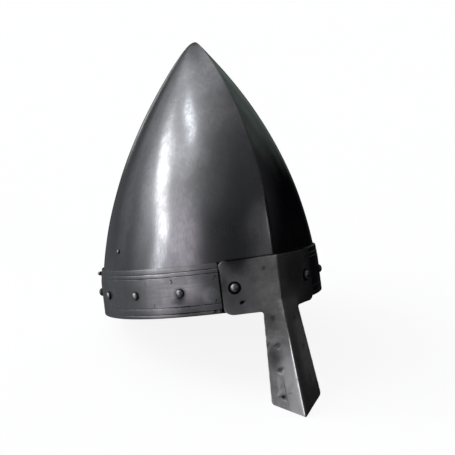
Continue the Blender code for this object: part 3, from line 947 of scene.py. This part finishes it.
def plate_steel():
    steel = Steel("worn_plate_steel_with_painted_light", settings().plate_color)
    tree = steel.tree
    x, _, z = steel.axes()
    off = size_of(tree, x)
    for mark_x, mark_z, lean, across, up, strength in PLATE_MARKS:
        steel.mark(nasal_point(mark_x, mark_z), 0.0, lean, across, up, strength)
    # pale scuffs, and painted highlights on the lower rims of dents
    for mark_x, mark_z, lean, across, up, strength in PLATE_SCUFFS_AND_GLINTS:
        centre = nasal_point(mark_x, mark_z)
        steel.rub_and_sheen(smear(tree, steel.ragged_place, centre, 0.0, lean, across, up, strength))
    # a painted shadow ring round each ear rivet, set a little below it
    for sign in (-1, 1):
        angle = sign * angle_at_arc(EAR_RIVET_ARC, RIVET_HEIGHT, PLATE_FACE)
        centre = shell_point(angle, RIVET_HEIGHT - EAR_RIVET_SHADOW_DROP, PLATE_FACE)
        steel.darken(ramp(tree, distance(tree, steel.place, centre), *EAR_RIVET_SHADOW))
    # painted shade along the guard's top edge and the ears' outer edges
    steel.darken(region(tree, (z, TOP_EDGE_SHADE), (off, TOP_EDGE_REACH)))
    steel.darken(region(tree, (off, EAR_EDGE_SHADE), (z, EAR_EDGE_HEIGHT)))
    # the crease's bright line: partly wear, partly a painted highlight
    width = ramp(tree, z, *WORN_HIGHLIGHT_WIDTH)
    away = size_of(tree, sum_of(tree, x, product(tree, width, WORN_HIGHLIGHT_OFFSET)))
    away = wire(tree, "ShaderNodeMath", away, width, operation="DIVIDE")[0]
    breaks = (clouds(tree, steel.place, WORN_HIGHLIGHT_BREAKS), WORN_HIGHLIGHT_BREAK_FADE)
    steel.brighten(region(tree, (away, WORN_HIGHLIGHT_LINE), (z, WORN_HIGHLIGHT_HEIGHT), breaks))
    # painted sheen with pale rubbing: on the wearer's right side, beside the crease and on the left
    patches = (clouds(tree, steel.place, RUB_SHEEN_PATCHES), RUB_SHEEN_PATCH_FADE)
    steel.rub_and_sheen(region(tree, (z, RUB_SHEEN_HEIGHT), (x, RIGHT_SIDE), patches))
    steel.rub_and_sheen(region(tree, (x, INNER_SHEEN_REACH), (z, INNER_SHEEN_HEIGHT), (x, RIGHT_SIDE)))
    steel.rub_and_sheen(region(tree, (x, LEFT_SHEEN_REACH), (z, LEFT_SHEEN_TOP), (z, LEFT_SHEEN_FOOT)))
    return steel.finish(settings().plate_polish, PLATE_FINISH)


def rivet_steel():
    steel = Steel("rivet_head_steel", settings().rivet_color)
    rim = wire(steel.tree, "ShaderNodeAttribute", attribute_name=RIM)["Fac"]
    # painted shade at the foot of each rivet head
    steel.darken(ramp(steel.tree, rim, *RIM_SHADE))
    return steel.finish(settings().rivet_polish, RIVET_FINISH)


# ---- the studio

# A glow is a round patch of light, fading from its core out to its spread. A pane is an oblong one with
# a blurred edge, and reaches its length and width to each side of its middle. Angles are in degrees.
Glow = collections.namedtuple("Glow", "heading height spread core strength tint")
Pane = collections.namedtuple("Pane", "heading height roll length width blur strength tint")
PANE_FRONT = Fade(0.0, 0.1)  # keeps a pane off the opposite side of the room

WHITE = (1.0, 1.0, 1.0)
COOL = (0.94, 1.00, 1.05)
ROSY = (1.03, 0.95, 1.02)
GREENISH = (0.90, 1.10, 0.96)
ROOM_SHADE = (0.002, 0.002, 0.003)
GLOWS = (
    Glow(-80, 45, 34, 5, 0.13, WHITE),
    Glow(-111, 30, 43, 5, 0.36, WHITE),
    Glow(-109, -34, 120, 5, 0.175, COOL),
    Glow(-6, 19, 19, 2, 0.155, WHITE),
    Glow(-79, 3, 33, 5, 0.70, ROSY),
    Glow(43, 63, 66, 5, 0.07, WHITE),
    Glow(-122, 34, 33, 5, 0.475, WHITE),
    Glow(-165, 28, 30, 4, 0.22, WHITE),
    Glow(-135, 28, 30, 4, 0.175, COOL),
    Glow(-120, 55, 34, 4, 0.19, WHITE),
    Glow(-40, 55, 34, 4, 0.045, COOL),
    Glow(180, 80, 36, 4, 0.18, WHITE),
    Glow(-96, 9, 9, 1, 1.05, COOL),
    Glow(-119, 25, 12, 3, 0.82, WHITE),
    Glow(125, 14, 18, 3, 0.10, GREENISH),
    Glow(110, 30, 24, 4, 0.08, GREENISH),
    Glow(-140, 60, 26, 4, 0.20, COOL),
    Glow(-155, 8, 22, 4, 0.115, WHITE),
    Glow(138, 2, 16, 3, 0.12, GREENISH),
    Glow(13, 25, 9, 1, 1.35, WHITE),
    Glow(130, 48, 24, 4, 0.35, WHITE),
)
PANES = (
    Pane(-115.4, 21.3, -21.5, 20.8, 4.5, 3.0, 2.2, WHITE),
    Pane(-115.3, 47.5, 4.0, 8.0, 2.6, 2.2, 5.2, COOL),
    Pane(170.0, -2.0, 90.0, 8.0, 2.5, 2.5, 0.93, WHITE),
)

FLOOR_SEGMENTS = 64
FLOOR_PATCHES = Noise((3, 3, 3), 3.0)
FLOOR_SHADE = 0.97
FLOOR_ROUGHNESS = 0.9
FLOOR_SHEEN = 0.1

# Camera, in the helmet's frame
VIEW_HEADING = -29.819
VIEW_HEIGHT = 2.129
VIEW_ROLL = -7.069
VIEW_DISTANCE = 0.87644
VIEW_ACROSS = 0.020998
VIEW_AIM = 0.066279
VIEW_END = 50.0
SENSOR = 36.0


def direction(heading, height):
    """A unit vector; its heading is 0 before the helmet and 90 at its left, its height is over level."""
    heading = math.radians(heading)
    height = math.radians(height)
    level = math.cos(height)
    return Vector((math.sin(heading) * level, -math.cos(heading) * level, math.sin(height)))


def rolled(level, upward, roll):
    """Two directions at right angles, both turned by `roll` degrees in their own plane."""
    roll = math.radians(roll)
    turned = level * math.cos(roll) + upward * math.sin(roll)
    return turned, upward * math.cos(roll) - level * math.sin(roll)


def add_light(tree, so_far, share, tint):
    """The light gathered so far with one more, as a colour vector."""
    return wire(tree, "ShaderNodeVectorMath", tint, share, so_far, operation="MULTIPLY_ADD")[0]


def facing(tree, way, toward):
    """How squarely a direction of the room faces another: the cosine of the angle between them."""
    return wire(tree, "ShaderNodeVectorMath", way, toward, operation="DOT_PRODUCT")["Value"]


def glow_share(tree, way, glow):
    toward = direction(glow.heading, glow.height)
    rim = math.cos(math.radians(glow.spread))
    core = math.cos(math.radians(glow.core))
    return ramp(tree, facing(tree, way, toward), rim, core, 0.0, glow.strength)


def pane_share(tree, way, pane):
    toward = direction(pane.heading, pane.height)
    level = direction(pane.heading + 90, 0)
    along, across = rolled(level, toward.cross(level), pane.roll)
    share = pane.strength * studio().window_strength
    for side, reach in ((along, pane.length), (across, pane.width)):
        off = size_of(tree, facing(tree, way, side))
        outer = math.sin(math.radians(reach + pane.blur))
        inner = math.sin(math.radians(max(reach - pane.blur, 0.0)))
        share = product(tree, share, ramp(tree, off, outer, inner))
    return product(tree, share, ramp(tree, facing(tree, way, toward), *PANE_FRONT))


def light_room():
    world = bpy.data.worlds.new("studio_room")
    world.use_nodes = True
    bpy.context.scene.world = world
    tree = world.node_tree
    tree.nodes.clear()
    way = wire(tree, "ShaderNodeTexCoord")["Generated"]
    light = ROOM_SHADE
    for glow in GLOWS:
        light = add_light(tree, light, glow_share(tree, way, glow), glow.tint)
    for pane in PANES:
        light = add_light(tree, light, pane_share(tree, way, pane), pane.tint)
    room = wire(tree, "ShaderNodeBackground", light)[0]
    backdrop = wire(tree, "ShaderNodeBackground", shade_of(studio().backdrop_color, 1.0))[0]
    seen = wire(tree, "ShaderNodeLightPath")["Is Camera Ray"]
    both = wire(tree, "ShaderNodeMixShader", seen, room, backdrop)[0]
    out = tree.nodes.new("ShaderNodeOutputWorld")
    tree.links.new(both, out.inputs["Surface"])


def floor_finish():
    material = bpy.data.materials.new("pale_floor")
    material.use_nodes = True
    tree = material.node_tree
    shader = tree.nodes["Principled BSDF"]
    here = wire(tree, "ShaderNodeTexCoord")["Object"]
    color = studio().floor_color
    patches = clouds(tree, here, FLOOR_PATCHES)
    tone = blend_colors(tree, patches, shade_of(color, 1.0), shade_of(color, FLOOR_SHADE))
    tree.links.new(tone, shader.inputs["Base Color"])
    shader.inputs["Roughness"].default_value = FLOOR_ROUGHNESS
    shader.inputs["Specular IOR Level"].default_value = FLOOR_SHEEN
    shader.inputs["Emission Color"].default_value = (1.0, 1.0, 1.0, 1.0)
    shader.inputs["Emission Strength"].default_value = studio().floor_glow
    return material


def lay_floor():
    bm = bmesh.new()
    radius = studio().floor_radius
    bmesh.ops.create_circle(bm, cap_ends=True, segments=FLOOR_SEGMENTS, radius=radius)
    mesh = bpy.data.meshes.new("floor")
    bm.to_mesh(mesh)
    bm.free()
    mesh.materials.append(floor_finish())
    floor = bpy.data.objects.new("floor", mesh)
    floor.visible_glossy = False
    bpy.context.scene.collection.objects.link(floor)


def place_camera():
    back = direction(VIEW_HEADING, VIEW_HEIGHT)
    level = direction(VIEW_HEADING + 90, 0)
    right, up = rolled(level, back.cross(level), VIEW_ROLL)
    aim = level * VIEW_ACROSS + Vector((0.0, 0.0, VIEW_AIM))
    place = Matrix((right, up, back)).transposed().to_4x4()
    place.translation = aim + back * VIEW_DISTANCE
    lens = bpy.data.cameras.new("camera")
    lens.lens = studio().lens
    lens.sensor_width = SENSOR
    lens.clip_end = VIEW_END
    camera = bpy.data.objects.new("camera", lens)
    camera.matrix_world = standing() @ place
    bpy.context.scene.collection.objects.link(camera)
    bpy.context.scene.camera = camera


# ---- the add-on


class HelmetSettings(bpy.types.PropertyGroup):
    """Sizes and finishes of the helmet that can be changed without touching its fit."""

    peak_rounding: bpy.props.FloatProperty(
        name="Peak Rounding", description="How blunt the peak is",
        default=0.0078, min=0.001, subtype="DISTANCE",
    )
    hammer_depth: bpy.props.FloatProperty(
        name="Hammer Depth", description="Depth of the skull's hammered hollows",
        default=0.00022, min=0.0, subtype="DISTANCE",
    )
    skull_color: bpy.props.FloatVectorProperty(
        name="Skull Steel", description="Reflected colour of the skull",
        default=(0.33, 0.33, 0.345), subtype="COLOR",
    )
    band_color: bpy.props.FloatVectorProperty(
        name="Band Steel", description="Reflected colour of the band",
        default=(0.35, 0.35, 0.36), subtype="COLOR",
    )
    plate_color: bpy.props.FloatVectorProperty(
        name="Plate Steel", description="Reflected colour of the nasal guard",
        default=(0.62, 0.61, 0.62), subtype="COLOR",
    )
    rivet_color: bpy.props.FloatVectorProperty(
        name="Rivet Steel", description="Reflected colour of the rivets",
        default=(0.42, 0.42, 0.43), subtype="COLOR",
    )
    skull_polish: bpy.props.FloatProperty(
        name="Skull Roughness", description="Roughness of the skull",
        default=0.17, min=0.0, max=1.0, subtype="FACTOR",
    )
    band_polish: bpy.props.FloatProperty(
        name="Band Roughness", description="Roughness of the band",
        default=0.31, min=0.0, max=1.0, subtype="FACTOR",
    )
    plate_polish: bpy.props.FloatProperty(
        name="Plate Roughness", description="Roughness of the nasal guard",
        default=0.37, min=0.0, max=1.0, subtype="FACTOR",
    )
    rivet_polish: bpy.props.FloatProperty(
        name="Rivet Roughness", description="Roughness of the rivets",
        default=0.32, min=0.0, max=1.0, subtype="FACTOR",
    )


class StudioSettings(bpy.types.PropertyGroup):
    """The room round the helmet."""

    lens: bpy.props.FloatProperty(
        name="Lens", description="Focal length of the camera",
        default=73.86, min=10.0, unit="CAMERA",
    )
    window_strength: bpy.props.FloatProperty(
        name="Window Strength", description="How bright the windows are",
        default=1.0, min=0.0,
    )
    backdrop_color: bpy.props.FloatVectorProperty(
        name="Backdrop", description="Colour past the edge of the floor",
        default=(0.95, 0.95, 0.95), subtype="COLOR",
    )
    floor_color: bpy.props.FloatVectorProperty(
        name="Floor", description="Colour of the floor",
        default=(0.30, 0.30, 0.30), subtype="COLOR",
    )
    floor_glow: bpy.props.FloatProperty(
        name="Floor Glow", description="Light that the floor gives of its own",
        default=0.88, min=0.0,
    )
    floor_radius: bpy.props.FloatProperty(
        name="Floor Radius", description="Radius of the round floor",
        default=6.0, min=1.0, subtype="DISTANCE",
    )


class HELMET_OT_skull(bpy.types.Operator):
    """Raise the polished skull with its front keel"""

    bl_idname = "helmet.skull"
    bl_label = "Raise Skull"

    def execute(self, context):
        skull = add_piece("polished_skull", raise_skull(), skull_steel(), "skull")
        wall = skull.modifiers.new("wall", "SOLIDIFY")
        wall.thickness = SKULL_WALL
        wall.offset = -1.0
        wall.use_quality_normals = True
        return {"FINISHED"}


class HELMET_OT_band(bpy.types.Operator):
    """Form the moulded brow band"""

    bl_idname = "helmet.band"
    bl_label = "Form Brow Band"

    def execute(self, context):
        add_piece("moulded_band", form_band(), band_steel(), "brow_band")
        return {"FINISHED"}


class HELMET_OT_nasal(bpy.types.Operator):
    """Fold the nasal guard and fit it over the band"""

    bl_idname = "helmet.nasal"
    bl_label = "Fold Nasal Guard"

    def execute(self, context):
        add_piece("nasal_guard", fold_nasal(), plate_steel(), "nasal_plate")
        return {"FINISHED"}


class HELMET_OT_rivets(bpy.types.Operator):
    """Turn every domed rivet and stud and set it in its place"""

    bl_idname = "helmet.rivets"
    bl_label = "Set Rivets"

    def execute(self, context):
        metal = rivet_steel()
        for node, size, face, angle, height in rivet_places():
            bm = turn_rivet(size, face + SKULL_WALL, rivet_pose(angle, height, face))
            add_piece(f"domed_{node}", bm, metal, node)
        return {"FINISHED"}


class HELMET_OT_studio(bpy.types.Operator):
    """Lay the pale floor, light the room and place the camera"""

    bl_idname = "helmet.studio"
    bl_label = "Set Up Studio"

    def execute(self, context):
        lay_floor()
        light_room()
        place_camera()
        context.scene.view_settings.view_transform = "Standard"
        return {"FINISHED"}


class HELMET_PT_sidebar(bpy.types.Panel):
    """Steps and settings of the helmet"""

    bl_idname = "HELMET_PT_sidebar"
    bl_label = "Nasal Helmet"
    bl_space_type = "VIEW_3D"
    bl_region_type = "UI"
    bl_category = "Helmet"

    def draw(self, context):
        for step in STEPS:
            self.layout.operator(step.bl_idname)
        for group in (context.scene.nasal_helmet, context.scene.helmet_studio):
            box = self.layout.box()
            for name in group.bl_rna.properties.keys():
                if name not in ("rna_type", "name"):
                    box.prop(group, name)


STEPS = (HELMET_OT_skull, HELMET_OT_band, HELMET_OT_nasal, HELMET_OT_rivets, HELMET_OT_studio)
CLASSES = (HelmetSettings, StudioSettings) + STEPS + (HELMET_PT_sidebar,)


def register():
    for made in CLASSES:
        bpy.utils.register_class(made)
    bpy.types.Scene.nasal_helmet = bpy.props.PointerProperty(type=HelmetSettings)
    bpy.types.Scene.helmet_studio = bpy.props.PointerProperty(type=StudioSettings)


def unregister():
    del bpy.types.Scene.helmet_studio
    del bpy.types.Scene.nasal_helmet
    for made in reversed(CLASSES):
        bpy.utils.unregister_class(made)


def main():
    register()
    bpy.ops.helmet.skull()
    bpy.ops.helmet.band()
    bpy.ops.helmet.nasal()
    bpy.ops.helmet.rivets()
    bpy.ops.helmet.studio()


if __name__ == "__main__":
    main()
